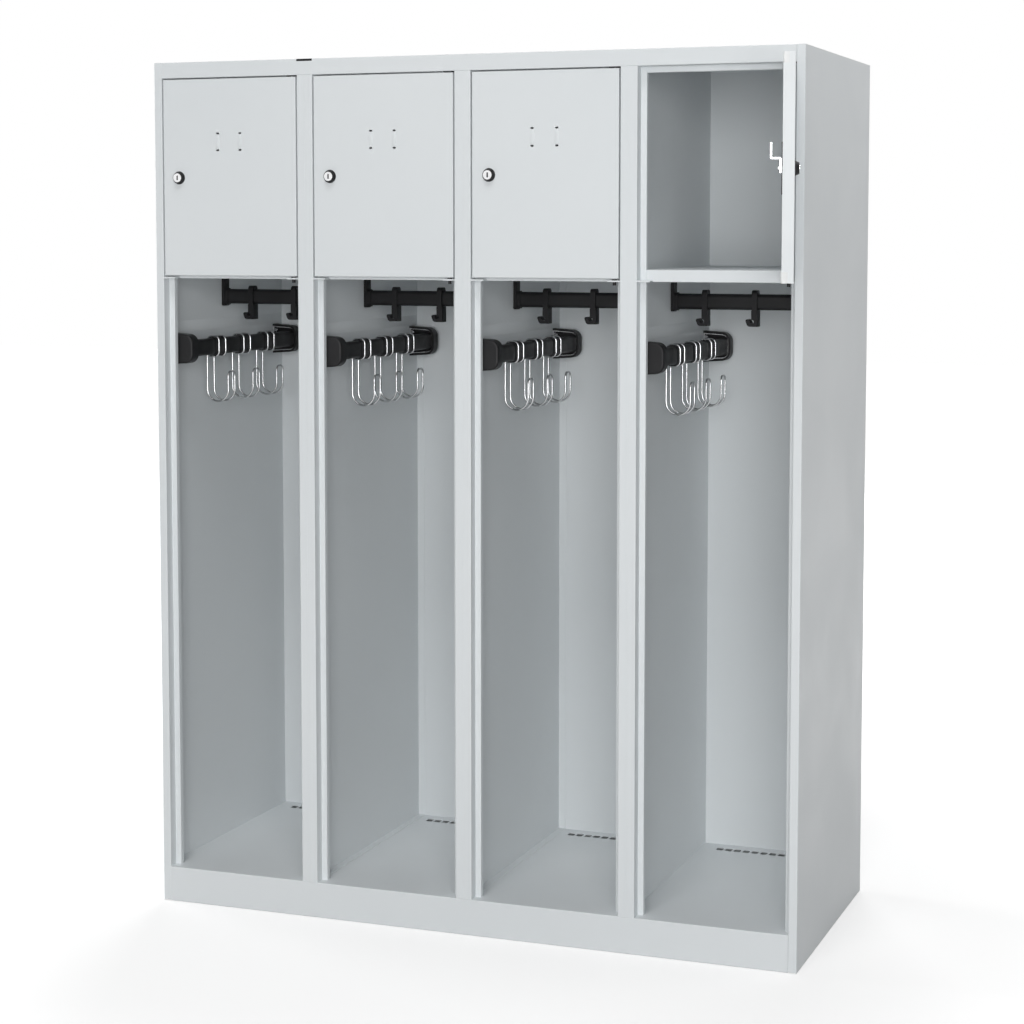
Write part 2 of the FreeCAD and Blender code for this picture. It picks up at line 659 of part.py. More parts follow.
def pin_line(bay, z):
    """Point on a door's hinge line."""
    return Vector(hinge_x(bay), HINGE_Y, z)


def lock_point(bay, depth):
    """Point on the lock's axis of a closed door, by its depth behind the door's face."""
    return Vector(door_left(bay) + LOCK_INSET, Y_FRONT + depth, LOCK_Z)


def door(bay):
    """Pan-shaped door: face, returns, inner lips, a wide lock lip, lock holes and label slots."""
    x0 = door_left(bay)
    x1 = door_right(bay)
    y1 = Y_FRONT + DOOR_THICKNESS
    block = box(x0, x1, Y_FRONT, y1, DOOR_BOTTOM, DOOR_TOP)
    front = [edge for edge in block.Edges if edge.BoundBox.YMax < Y_FRONT + SHEET]
    block = block.makeFillet(BEND + SHEET, front)
    cavity = box(x0 + SHEET, x1 - SHEET, Y_FRONT + SHEET, y1 - SHEET, DOOR_BOTTOM + SHEET, DOOR_TOP - SHEET)
    window = box(x0 + LOCK_LIP, x1 + SHEET, y1 - 2 * SHEET, y1 + SHEET, DOOR_BOTTOM + DOOR_LIP, DOOR_TOP - DOOR_LIP)
    knuckle = Y_FRONT + HINGE_RETURN
    outline = [(x1 + SHEET, knuckle - SHEET), (x1, knuckle), (x1 - HINGE_RELIEF, y1),
               (x1 - HINGE_RELIEF, y1 + SHEET), (x1 + SHEET, y1 + SHEET)]
    relief = prism(outline, plane_z(DOOR_BOTTOM - SHEET), ALONG_Z * (DOOR_TOP - DOOR_BOTTOM + 2 * SHEET))
    cuts = [cavity, window, relief]
    for z in (DOOR_BOTTOM, DOOR_TOP):
        cuts.append(rod(PIN_DIAMETER + 2 * FIT, pin_line(bay, z - 2 * SHEET), pin_line(bay, z + 2 * SHEET)))
    cuts.append(rod(BARREL_DIAMETER + 2 * FIT, lock_point(bay, -SHEET), lock_point(bay, DOOR_THICKNESS + SHEET)))
    centre = (x0 + x1) / 2
    for side_x in (-1, 1):
        for side_z in (-1, 1):
            x = centre + side_x * LABEL_SPACING_X / 2
            z = DOOR_TOP - LABEL_FROM_TOP + side_z * LABEL_SPACING_Z / 2
            cuts.append(label_slot(x, z))
    start = Y_FRONT + CAP_START
    for z0, z1 in ((DOOR_BOTTOM - SHEET, DOOR_BOTTOM + CAP_HEIGHT), (DOOR_TOP - CAP_HEIGHT, DOOR_TOP + SHEET)):
        cuts.append(box(x0 - SHEET, x0 + CAP_WIDTH, start, y1 + SHEET, z0, z1))
    return opened(block.cut(cuts).Solids[0], bay)


def label_slot(x, z):
    """Cutter for one round-ended slot of the label holder."""
    half_x = LABEL_SLOT_WIDTH / 2
    half_z = LABEL_SLOT_HEIGHT / 2
    outline = [(x - half_x, z - half_z, half_z), (x + half_x, z - half_z, half_z),
               (x + half_x, z + half_z, half_z), (x - half_x, z + half_z, half_z)]
    return prism(outline, plane_y(Y_FRONT - SHEET), ALONG_Y * 3 * SHEET)


def corner_cap(bay, z0, z1, proud):
    """Grey cap that closes a free corner of the door; the lower one stands proud as a buffer."""
    x0 = door_left(bay)
    y1 = Y_FRONT + DOOR_THICKNESS + proud
    block = box(x0, x0 + CAP_WIDTH - FIT, Y_FRONT + CAP_START + FIT, y1, z0, z1)
    heel = [edge for edge in block.Edges if edge.BoundBox.XMax < x0 + FIT and edge.BoundBox.YMin > y1 - FIT]
    return block.makeFillet(CAP_ROUND, heel)


def hinge_block(bay, z, way):
    """Block in a hinge corner of the door with its pivot pin; way is 1 for the top and -1 for the foot."""
    x1 = door_right(bay) - SHEET - FIT
    inner = z - way * (SHEET + FIT)
    far = inner - way * HINGE_BLOCK_HEIGHT
    block = box(x1 - HINGE_BLOCK_WIDTH, x1, Y_FRONT + SHEET + FIT, Y_FRONT + HINGE_RETURN - SHEET,
                min(inner, far), max(inner, far))
    gap = DOOR_GAP if way > 0 else DOOR_LIFT - TAB_THICKNESS
    pin = rod(PIN_DIAMETER, pin_line(bay, far), pin_line(bay, z + way * (gap + PIN_REACH)))
    return joined([block, pin])


def door_caps(bay):
    """The four plastic corner pieces of a door."""
    pieces = [corner_cap(bay, DOOR_BOTTOM, DOOR_BOTTOM + CAP_HEIGHT - FIT, BUFFER_PROUD),
              corner_cap(bay, DOOR_TOP - CAP_HEIGHT + FIT, DOOR_TOP, 0),
              hinge_block(bay, DOOR_BOTTOM, -1), hinge_block(bay, DOOR_TOP, 1)]
    return [opened(piece, bay) for piece in pieces]


def hinge_bushes(bay):
    """Black bushes that take the pins of one door, in the top band and in the shelf tab."""
    x = hinge_x(bay)
    bore = PIN_DIAMETER + 2 * PIN_PLAY
    front = Y_FRONT + TAB_SETBACK
    plate = box(x - BUSH_PLATE_WIDTH / 2, x + BUSH_PLATE_WIDTH / 2, front, front + BUSH_PLATE_DEPTH,
                Z_BAND - BUSH_PLATE, Z_BAND)
    shank = rod(BUSH_DIAMETER, pin_line(bay, Z_BAND - BUSH_PLATE), pin_line(bay, Z_BAND + BUSH_LENGTH))
    hole = rod(bore, pin_line(bay, Z_BAND - 2 * BUSH_PLATE), pin_line(bay, Z_BAND + BUSH_LENGTH - SHEET))
    upper = joined([plate, shank]).cut(hole).Solids[0]
    seat = Z_SHELF_FOOT + TAB_THICKNESS
    disc = rod(FOOT_BUSH_PLATE, pin_line(bay, seat), pin_line(bay, seat + BUSH_PLATE))
    shank = rod(BUSH_DIAMETER, pin_line(bay, seat - BUSH_LENGTH), pin_line(bay, seat + BUSH_PLATE))
    hole = rod(bore, pin_line(bay, seat - BUSH_LENGTH + SHEET), pin_line(bay, seat + 2 * BUSH_PLATE))
    lower = joined([disc, shank]).cut(hole).Solids[0]
    return [upper, lower]


# Locks
def lock_housing(bay):
    """Black rosette with its barrel through the door, and the plate that holds it inside."""
    cone = Part.makeCone(ROSETTE_BASE / 2, ROSETTE_FACE / 2, ROSETTE_PROUD, lock_point(bay, 0), -ALONG_Y)
    back = DOOR_THICKNESS + LOCK_PLATE
    barrel = rod(BARREL_DIAMETER, lock_point(bay, 0), lock_point(bay, back))
    bore = rod(PLUG_DIAMETER + 2 * PLUG_PLAY, lock_point(bay, -2 * ROSETTE_PROUD), lock_point(bay, 2 * back))
    sink = rod(PLUG_HEAD_DIAMETER + 2 * PLUG_PLAY, lock_point(bay, -2 * ROSETTE_PROUD),
               lock_point(bay, plug_head_end() + CAM_PLAY))
    housing = joined([cone, barrel]).cut([bore, sink]).Solids[0]
    centre = lock_point(bay, DOOR_THICKNESS)
    plate = box(centre.x - LOCK_PLATE_WIDTH / 2, centre.x + LOCK_PLATE_WIDTH / 2, centre.y, centre.y + LOCK_PLATE,
                LOCK_Z - LOCK_PLATE_HEIGHT / 2, LOCK_Z + LOCK_PLATE_HEIGHT / 2)
    hole = rod(BARREL_DIAMETER + 2 * FIT, lock_point(bay, 0), lock_point(bay, 2 * DOOR_THICKNESS))
    return [opened(housing, bay), opened(plate.cut(hole).Solids[0], bay)]


def cam_seat():
    """Depth behind the door's face at which the cam sits on the plug's shoulder."""
    return DOOR_THICKNESS + LOCK_PLATE + CAM_PLAY


def plug_face():
    """Depth of the plug's front face, which stands a little proud of the rosette."""
    return -ROSETTE_PROUD - PLUG_PROUD


def plug_head_end():
    """Depth at which the wide head of the plug ends."""
    return plug_face() + PLUG_HEAD_LENGTH


def lock_plug(bay):
    """Chrome cylinder plug with a wide head, a key slot, a tail for the cam and a tapped hole."""
    front = plug_face()
    seat = cam_seat()
    head = rod(PLUG_HEAD_DIAMETER, lock_point(bay, front), lock_point(bay, plug_head_end()))
    body = rod(PLUG_DIAMETER, lock_point(bay, front), lock_point(bay, seat))
    tail = rod(PLUG_TAIL_DIAMETER, lock_point(bay, seat - SHEET), lock_point(bay, seat + CAM_THICKNESS))
    face = lock_point(bay, front)
    slot = box(face.x - KEY_SLOT_WIDTH / 2, face.x + KEY_SLOT_WIDTH / 2, face.y - SHEET, face.y + KEY_SLOT_DEPTH,
               LOCK_Z - KEY_SLOT_HEIGHT / 2, LOCK_Z + KEY_SLOT_HEIGHT / 2)
    tapped = rod(CAM_SCREW_DIAMETER + 2 * FIT, lock_point(bay, seat + CAM_THICKNESS - CAM_SCREW_LENGTH - SHEET),
                 lock_point(bay, seat + 2 * CAM_THICKNESS))
    return opened(joined([head, body, tail]).cut([slot, tapped]).Solids[0], bay)


def lock_cam(bay):
    """Cranked zinc cam that points up when unlocked, and the screw that holds it."""
    seat = lock_point(bay, cam_seat())
    path = [(seat.y, LOCK_Z - CAM_TAIL), (seat.y, LOCK_Z + CAM_BASE), (seat.y + CAM_CRANK, LOCK_Z + CAM_BASE),
            (seat.y + CAM_CRANK, LOCK_Z + CAM_REACH)]
    blade = folded(path, plane_x(seat.x - CAM_WIDTH / 2), Vector(CAM_WIDTH, 0, 0), CAM_THICKNESS)
    hole = rod(PLUG_TAIL_DIAMETER + 2 * FIT, lock_point(bay, 0), seat + ALONG_Y * 2 * CAM_THICKNESS)
    top = seat + ALONG_Y * CAM_THICKNESS
    shank = rod(CAM_SCREW_DIAMETER, top - ALONG_Y * CAM_SCREW_LENGTH, top)
    head = rod(CAM_SCREW_HEAD, top, top + ALONG_Y * CAM_SCREW_HEAD_HEIGHT)
    return [opened(blade.cut(hole).Solids[0], bay), opened(joined([shank, head]), bay)]


# Writing the nodes
def save(node, solids):
    """Writes one node, a solid or a group of separate solids."""
    if not isinstance(solids, list):
        solids = [solids]
    shape = solids[0] if len(solids) == 1 else Part.makeCompound(solids)
    valid = all(solid.isValid() and solid.Volume > 0 for solid in solids)
    print(f"{node}: {len(solids)} solid(s), {shape.Volume:.0f} mm3, {'valid' if valid else 'NOT VALID'}")
    shape.exportStep(f"parts/{node}.step")


def save_carcass():
    """Sides, roof, floor, back, walls and shelves."""
    left = side_panel()
    save("left_side_panel", left)
    save("right_side_panel", mirrored_x(left, 0))
    save("top_panel", top_panel())
    save("base_pan", base_pan())
    save("back_panel", back_panel())
    for post in range(1, BAYS):
        save(f"divider_{post}", divider(post))
    for bay in range(BAYS):
        save(f"locker_shelf_{bay + 1}", shelf(bay))


def save_fittings():
    """Rails, hook bars and what holds them."""
    brackets = []
    bands = []
    fixings = []
    inserts = [seam_cap(FIT)]
    bar_middle = sum(bar_ends()) / 2
    for bay in range(BAYS):
        middle = (left_wall(bay) + right_wall(bay)) / 2
        number = bay + 1
        save(f"clothes_rail_{number}", clothes_rail(bay))
        save(f"hook_bar_{number}", hook_bar(bay))
        save(f"wire_hooks_{number}", [wire_hook(bay, y) for y in wire_hook_places()])
        for hook in range(RAIL_HOOKS):
            save(f"rail_hook_{number}_{hook + 1}", rail_hook(bay, hook))
        bracket = rail_bracket(left_wall(bay))
        screw = rail_screw(left_wall(bay))
        band = bar_bracket(bay)
        studs = [wall_stud(bay, side) for side in (-1, 1)]
        brackets += [bracket, mirrored_x(bracket, middle)]
        bands += [band, mirrored_y(band, bar_middle)]
        fixings += [screw, mirrored_x(screw, middle)] + studs + [mirrored_y(stud, bar_middle) for stud in studs]
        inserts += hinge_bushes(bay)
    save("rail_brackets", brackets)
    save("bar_brackets", bands)
    save("fixing_screws", fixings)
    save("frame_inserts", inserts)


def save_doors():
    """Doors with their corner pieces and locks."""
    for bay in range(BAYS):
        number = bay + 1
        save(f"door_{number}", door(bay))
        save(f"door_caps_{number}", door_caps(bay))
        save(f"lock_housing_{number}", lock_housing(bay))
        save(f"lock_plug_{number}", lock_plug(bay))
        save(f"lock_cam_{number}", lock_cam(bay))


os.makedirs("parts", exist_ok=True)
save_carcass()
save_fittings()
save_doors()
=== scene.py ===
"""Looks of a four-bay firefighter locker: finishes, small trim, studio light and camera."""

import json
import logging
import math
from dataclasses import dataclass
from enum import Enum

import bpy
from mathutils import Matrix, Vector


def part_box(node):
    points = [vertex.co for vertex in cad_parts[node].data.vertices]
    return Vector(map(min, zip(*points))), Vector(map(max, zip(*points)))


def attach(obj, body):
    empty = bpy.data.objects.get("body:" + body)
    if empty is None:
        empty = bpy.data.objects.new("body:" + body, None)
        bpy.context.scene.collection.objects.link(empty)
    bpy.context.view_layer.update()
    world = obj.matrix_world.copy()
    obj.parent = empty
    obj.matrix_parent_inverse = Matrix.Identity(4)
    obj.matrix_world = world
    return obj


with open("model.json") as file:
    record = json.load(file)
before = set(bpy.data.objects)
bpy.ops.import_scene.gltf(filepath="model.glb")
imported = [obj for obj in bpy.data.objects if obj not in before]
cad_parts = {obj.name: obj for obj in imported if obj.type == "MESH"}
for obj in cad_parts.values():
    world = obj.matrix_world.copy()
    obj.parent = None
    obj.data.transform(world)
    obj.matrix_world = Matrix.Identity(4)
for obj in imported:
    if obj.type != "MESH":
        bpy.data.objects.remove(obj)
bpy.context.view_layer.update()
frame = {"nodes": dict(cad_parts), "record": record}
LOG = logging.getLogger("locker")

# Main sizes of the locker, in metres
BAYS = 4
BAY_WIDTH = 0.350
WIDTH = BAYS * BAY_WIDTH
FRONT = -0.300
SHEET = 0.001

# The last door stands open at rest, turned about its hinge line
OPEN_BAY = BAYS - 1
OPEN_HINGE = Vector((0.6695, -0.2930, 0.0))
OPEN_TURN = math.radians(104.0)

# Modelling values that the trim pieces share
ROUND_STEPS = 2
SMOOTH_ANGLE = math.radians(40.0)

# Sockets of a colour Mix node, whose names repeat
MIX_FIRST = 6
MIX_SECOND = 7
MIX_RESULT = 2

WHITE = (1.0, 1.0, 1.0, 1.0)
Colour = tuple[float, float, float]
Point = tuple[float, float, float]


def bay_edge(bay: int) -> float:
    """X of the left boundary of a bay, counted from 0."""
    return -WIDTH / 2 + bay * BAY_WIDTH


def left_wall(bay: int) -> float:
    """X of the inner face of the wall on a bay's left."""
    return bay_edge(bay) + (SHEET if bay == 0 else SHEET / 2)


class Slot(Enum):
    """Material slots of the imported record."""

    PAINT = "grey_paint"
    BLACK = "black_plastic"
    CAP = "grey_plastic"
    STEEL = "bright_steel"
    CHROME = "chrome"


class Graph:
    """A node tree being wired."""

    def __init__(self, tree: bpy.types.NodeTree) -> None:
        """Takes the tree to wire.

        Args:
            tree: A material's, group's or world's node tree.
        """
        self.tree = tree

    def node(self, kind: str, **inputs: object) -> bpy.types.Node:
        """Adds a node and sets its sockets or properties.

        Args:
            kind: Blender's node type.
            **inputs: Values by socket name with spaces as underscores, or by property name.

        Returns:
            The new node.
        """
        made = self.tree.nodes.new(kind)
        for name, value in inputs.items():
            socket = made.inputs.get(name.replace("_", " "))
            if socket is None:
                setattr(made, name, value)
            else:
                socket.default_value = value
        return made

    def link(self, out: bpy.types.NodeSocket, into: bpy.types.NodeSocket) -> None:
        """Joins two sockets."""
        self.tree.links.new(out, into)


class Effects:
    """Shader node groups that several finishes share, each built once."""

    def __init__(self) -> None:
        """Builds the groups."""
        self.grain = self._grain()
        self.drift = self._drift()
        self.marks = self._marks()

    @staticmethod
    def _group(
        name: str, inputs: list[str], outputs: list[str]
    ) -> tuple[Graph, bpy.types.Node, bpy.types.Node]:
        """Starts a group with number sockets.

        Args:
            name: The group's name.
            inputs: Names of its input sockets.
            outputs: Names of its output sockets.

        Returns:
            The graph, its input node and its output node.
        """
        tree = bpy.data.node_groups.new(name, "ShaderNodeTree")
        for direction, names in (("INPUT", inputs), ("OUTPUT", outputs)):
            for socket in names:
                tree.interface.new_socket(socket, in_out=direction, socket_type="NodeSocketFloat")
        graph = Graph(tree)
        return graph, graph.node("NodeGroupInput"), graph.node("NodeGroupOutput")

    def _grain(self) -> bpy.types.NodeTree:
        """Builds the fine pebbled relief of a sprayed or moulded skin.

        Returns:
            The group, with the relief as Height.
        """
        graph, given, result = self._group("skin_grain", ["Scale"], ["Height"])
        place = graph.node("ShaderNodeTexCoord")
        broad = graph.node("ShaderNodeTexNoise", Detail=2.0, Roughness=0.5)
        pebbles = graph.node("ShaderNodeTexVoronoi", feature="SMOOTH_F1", Smoothness=0.6)
        both = graph.node("ShaderNodeMath", operation="ADD")
        for texture in (broad, pebbles):
            graph.link(place.outputs["Object"], texture.inputs["Vector"])
            graph.link(given.outputs["Scale"], texture.inputs["Scale"])
        graph.link(broad.outputs["Fac"], both.inputs[0])
        graph.link(pebbles.outputs["Distance"], both.inputs[1])
        graph.link(both.outputs["Value"], result.inputs["Height"])
        return graph.tree

    def _drift(self) -> bpy.types.NodeTree:
        """Builds the slow change of tone over a large surface.

        Returns:
            The group, with the share of the second tone as Factor.
        """
        graph, given, result = self._group("tone_drift", ["Scale"], ["Factor"])
        place = graph.node("ShaderNodeTexCoord")
        cloud = graph.node("ShaderNodeTexNoise", Detail=3.0, Roughness=0.45)
        spread = graph.node("ShaderNodeMapRange", From_Min=0.35, From_Max=0.65)
        graph.link(place.outputs["Object"], cloud.inputs["Vector"])
        graph.link(given.outputs["Scale"], cloud.inputs["Scale"])
        graph.link(cloud.outputs["Fac"], spread.inputs["Value"])
        graph.link(spread.outputs["Result"], result.inputs["Factor"])
        return graph.tree

    def _marks(self) -> bpy.types.NodeTree:
        """Builds the soft patches where hands and cloth have rubbed a surface.

        Returns:
            The group, with a number between Low and High as Value.
        """
        graph, given, result = self._group("rub_marks", ["Scale", "Low", "High"], ["Value"])
        place = graph.node("ShaderNodeTexCoord")
        patch = graph.node("ShaderNodeTexNoise", Detail=5.0, Roughness=0.62, Distortion=0.4)
        spread = graph.node("ShaderNodeMapRange", From_Min=0.38, From_Max=0.66)
        graph.link(place.outputs["Object"], patch.inputs["Vector"])
        graph.link(given.outputs["Scale"], patch.inputs["Scale"])
        graph.link(patch.outputs["Fac"], spread.inputs["Value"])
        graph.link(given.outputs["Low"], spread.inputs["To Min"])
        graph.link(given.outputs["High"], spread.inputs["To Max"])
        graph.link(spread.outputs["Result"], result.inputs["Value"])
        return graph.tree


@dataclass(frozen=True)
class Finish:
    """A skin with fine grain, drifting tone and rubbed patches of other roughness."""

    name: str
    colour: Colour
    shade: Colour
    rough_low: float
    rough_high: float
    grain_scale: float
    grain_depth: float
    drift_scale: float
    mark_scale: float
    metallic: float = 0.0
    specular: float = 0.5

    def material(self, effects: Effects) -> bpy.types.Material:
        """Builds the finish as a material.

        Args:
            effects: The shared node groups.

        Returns:
            The new material.
        """
        made = bpy.data.materials.new(self.name)
        made.use_nodes = True
        graph = Graph(made.node_tree)
        skin = made.node_tree.nodes["Principled BSDF"]
        skin.inputs["Metallic"].default_value = self.metallic
        skin.inputs["Specular IOR Level"].default_value = self.specular
        tone = graph.node("ShaderNodeGroup", node_tree=effects.drift)
        tone.inputs["Scale"].default_value = self.drift_scale
        blend = graph.node("ShaderNodeMix", data_type="RGBA")
        blend.inputs[MIX_FIRST].default_value = (*self.colour, 1.0)
        blend.inputs[MIX_SECOND].default_value = (*self.shade, 1.0)
        rub = graph.node("ShaderNodeGroup", node_tree=effects.marks)
        rub.inputs["Scale"].default_value = self.mark_scale
        rub.inputs["Low"].default_value = self.rough_low
        rub.inputs["High"].default_value = self.rough_high
        grain = graph.node("ShaderNodeGroup", node_tree=effects.grain)
        grain.inputs["Scale"].default_value = self.grain_scale
        relief = graph.node("ShaderNodeBump", Strength=1.0, Distance=self.grain_depth)
        graph.link(tone.outputs["Factor"], blend.inputs["Factor"])
        graph.link(blend.outputs[MIX_RESULT], skin.inputs["Base Color"])
        graph.link(rub.outputs["Value"], skin.inputs["Roughness"])
        graph.link(grain.outputs["Height"], relief.inputs["Height"])
        graph.link(relief.outputs["Normal"], skin.inputs["Normal"])
        return made


FINISHES = {
    Slot.PAINT: Finish(
        "light_grey_powder_coat",
        colour=(0.718, 0.748, 0.762),
        shade=(0.697, 0.729, 0.745),
        rough_low=0.40,
        rough_high=0.50,
        grain_scale=900.0,
        grain_depth=0.00003,
        drift_scale=1.6,
        mark_scale=5.0,
        specular=0.32,
    ),
    Slot.BLACK: Finish(
        "black_moulded_plastic",
        colour=(0.011, 0.011, 0.012),
        shade=(0.016, 0.016, 0.017),
        rough_low=0.36,
        rough_high=0.50,
        grain_scale=1500.0,
        grain_depth=0.00003,
        drift_scale=12.0,
        mark_scale=30.0,
        specular=0.18,
    ),
    Slot.CAP: Finish(
        "grey_moulded_plastic",
        colour=(0.690, 0.700, 0.700),
        shade=(0.655, 0.668, 0.668),
        rough_low=0.34,
        rough_high=0.44,
        grain_scale=1500.0,
        grain_depth=0.00002,
        drift_scale=20.0,
        mark_scale=40.0,
    ),
    Slot.STEEL: Finish(
        "zinc_plated_steel",
        colour=(0.600, 0.605, 0.612),
        shade=(0.500, 0.505, 0.515),
        rough_low=0.16,
        rough_high=0.30,
        grain_scale=1200.0,
        grain_depth=0.00001,
        drift_scale=40.0,
        mark_scale=90.0,
        metallic=1.0,
    ),
    Slot.CHROME: Finish(
        "polished_chrome",
        colour=(0.880, 0.885, 0.890),
        shade=(0.820, 0.825, 0.835),
        rough_low=0.05,
        rough_high=0.14,
        grain_scale=2500.0,
        grain_depth=0.000004,
        drift_scale=60.0,
        mark_scale=200.0,
        metallic=1.0,
    ),
}


class Palette:
    """The materials by record slot."""

    def __init__(self) -> None:
        """Builds the shared groups and each finish."""
        effects = Effects()
        self.materials = {slot: finish.material(effects) for slot, finish in FINISHES.items()}

    def dress(self, piece: bpy.types.Object, slot: Slot) -> None:
        """Gives a piece the material of a slot.

        Args:
            piece: The mesh object.
            slot: The record slot.
        """
        piece.data.materials.clear()
        piece.data.materials.append(self.materials[slot])

    def dress_nodes(self) -> None:
        """Gives every CAD node the material of its record slot."""
        for row in frame["record"]["subparts"]:
            self.dress(frame["nodes"][row["node"]], Slot(row["material_slot"]))
            LOG.info("dressed %s as %s", row["node"], row["material_slot"])


class Bench:
    """Modelling steps that the trim pieces share."""

    @staticmethod
    def block(name: str, low: Vector, high: Vector, edge: float) -> bpy.types.Object:
        """Models a block with rounded edges between two corners.

        Args:
            name: The new object's name.
            low: Lowest corner.
            high: Highest corner.
            edge: Width of the edge rounding.

        Returns:
            The new object, at the origin with its place in its mesh.
        """
        bpy.ops.object.select_all(action="DESELECT")
        bpy.ops.mesh.primitive_cube_add(size=1.0, location=(low + high) / 2)
        piece = bpy.context.object
        piece.name = name
        piece.scale = high - low
        bpy.ops.object.transform_apply(location=True, rotation=True, scale=True)
        bpy.ops.object.mode_set(mode="EDIT")
        bpy.ops.mesh.select_all(action="SELECT")
        bpy.ops.mesh.bevel(offset=edge, segments=ROUND_STEPS, affect="EDGES")
        bpy.ops.object.mode_set(mode="OBJECT")
        bpy.ops.object.shade_smooth_by_angle(angle=SMOOTH_ANGLE)
        return piece

    @staticmethod
    def opened(piece: bpy.types.Object) -> None:
        """Turns a piece of the last door from the closed to the open place, kept in its mesh.

        Args:
            piece: The object to turn, made as on a closed door.
        """
        bpy.ops.object.select_all(action="DESELECT")
        piece.select_set(True)
        bpy.context.view_layer.objects.active = piece
        piece.location = OPEN_HINGE
        piece.data.transform(Matrix.Translation(-OPEN_HINGE))
        piece.rotation_euler = (0.0, 0.0, OPEN_TURN)
        bpy.ops.object.transform_apply(location=True, rotation=True, scale=True)


@dataclass
class WallStrips:
    """The thin painted strip on each left wall, just above the hook bar."""

    low: float = 1.2300
    high: float = 1.2530
    front: float = -0.2615
    rear: float = 0.2870
    thickness: float = 0.0008
    edge: float = 0.0003

    def build(self, palette: Palette) -> None:
        """Models and dresses the strips.

        Args:
            palette: The materials.
        """
        for bay in range(BAYS):
            x = left_wall(bay)
            strip = Bench.block(f"wall_strip_{bay + 1}", Vector((x, self.front, self.low)),
                                Vector((x + self.thickness, self.rear, self.high)), self.edge)
            palette.dress(strip, Slot.PAINT)
            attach(strip, "cabinet")
            LOG.info("made %s", strip.name)


@dataclass
class LabelStrips:
    """The two faint upright strips, pressed a little proud, that hold a label on each door."""

    apart: float = 0.052
    width: float = 0.012
    height: float = 0.033
    proud: float = 0.0006
    flank: float = 0.0016
    edge: float = 0.00025
    middle: float = 1.6330

    def build(self, palette: Palette) -> None:
        """Models and dresses a pair for each door.

        Args:
            palette: The materials.
        """
        for bay in range(BAYS):
            for side, word in ((-1, "left"), (1, "right")):
                x = bay_edge(bay) + BAY_WIDTH / 2 + side * self.apart / 2
                strip = self._strip(f"label_strip_{word}_{bay + 1}", Vector((x, FRONT, self.middle)))
                if bay == OPEN_BAY:
                    Bench.opened(strip)
                palette.dress(strip, Slot.PAINT)
                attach(strip, f"door_{bay + 1}")
                LOG.info("made %s", strip.name)

    def _strip(self, name: str, centre: Vector) -> bpy.types.Object:
        """Models one strip as a low block with sloping flanks.

        Args:
            name: The new object's name.
            centre: Middle of its foot on the door's face.

        Returns:
            The new object.
        """
        half = Vector((self.width / 2, 0.0, self.height / 2))
        low = centre - half - Vector((0.0, self.proud, 0.0))
        strip = Bench.block(name, low, centre + half, self.edge)
        inner = Vector((1 - 2 * self.flank / self.width, 1.0, 1 - 2 * self.flank / self.height))
        for point in strip.data.vertices:
            point.select = point.co.y < centre.y - self.proud / 2
        bpy.ops.object.mode_set(mode="EDIT")
        bpy.ops.transform.resize(value=inner, center_override=centre)
        bpy.ops.object.mode_set(mode="OBJECT")
        return strip


@dataclass
class KeywayShades:
    """A dark block of painted shade that fills the key slot of each lock plug, a little below its face,
    where the real slot holds only shade.
    """

    width: float = 0.0028
    height: float = 0.0096
    sunk: float = 0.0003
    depth: float = 0.0016
    edge: float = 0.0006

    def build(self, palette: Palette) -> None:
        """Models and dresses one block of painted shade in the key slot of each lock.

        Args:
            palette: The materials.
        """
        low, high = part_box("lock_plug_1")
        centre = (Vector(low) + Vector(high)) / 2
        face = low[1] + self.sunk
        half = Vector((self.width / 2, 0.0, self.height / 2))
        rear = Vector((0.0, self.depth, 0.0))
        for bay in range(BAYS):
            middle = Vector((centre.x + bay * BAY_WIDTH, face, centre.z))
            keyway_shade = Bench.block(f"keyway_{bay + 1}", middle - half, middle + half + rear, self.edge)
            if bay == OPEN_BAY:
                Bench.opened(keyway_shade)
            # Black plastic here is painted shade, standing in for the dark depth of the key slot.
            palette.dress(keyway_shade, Slot.BLACK)
            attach(keyway_shade, f"lock_{bay + 1}")
            LOG.info("made %s", keyway_shade.name)


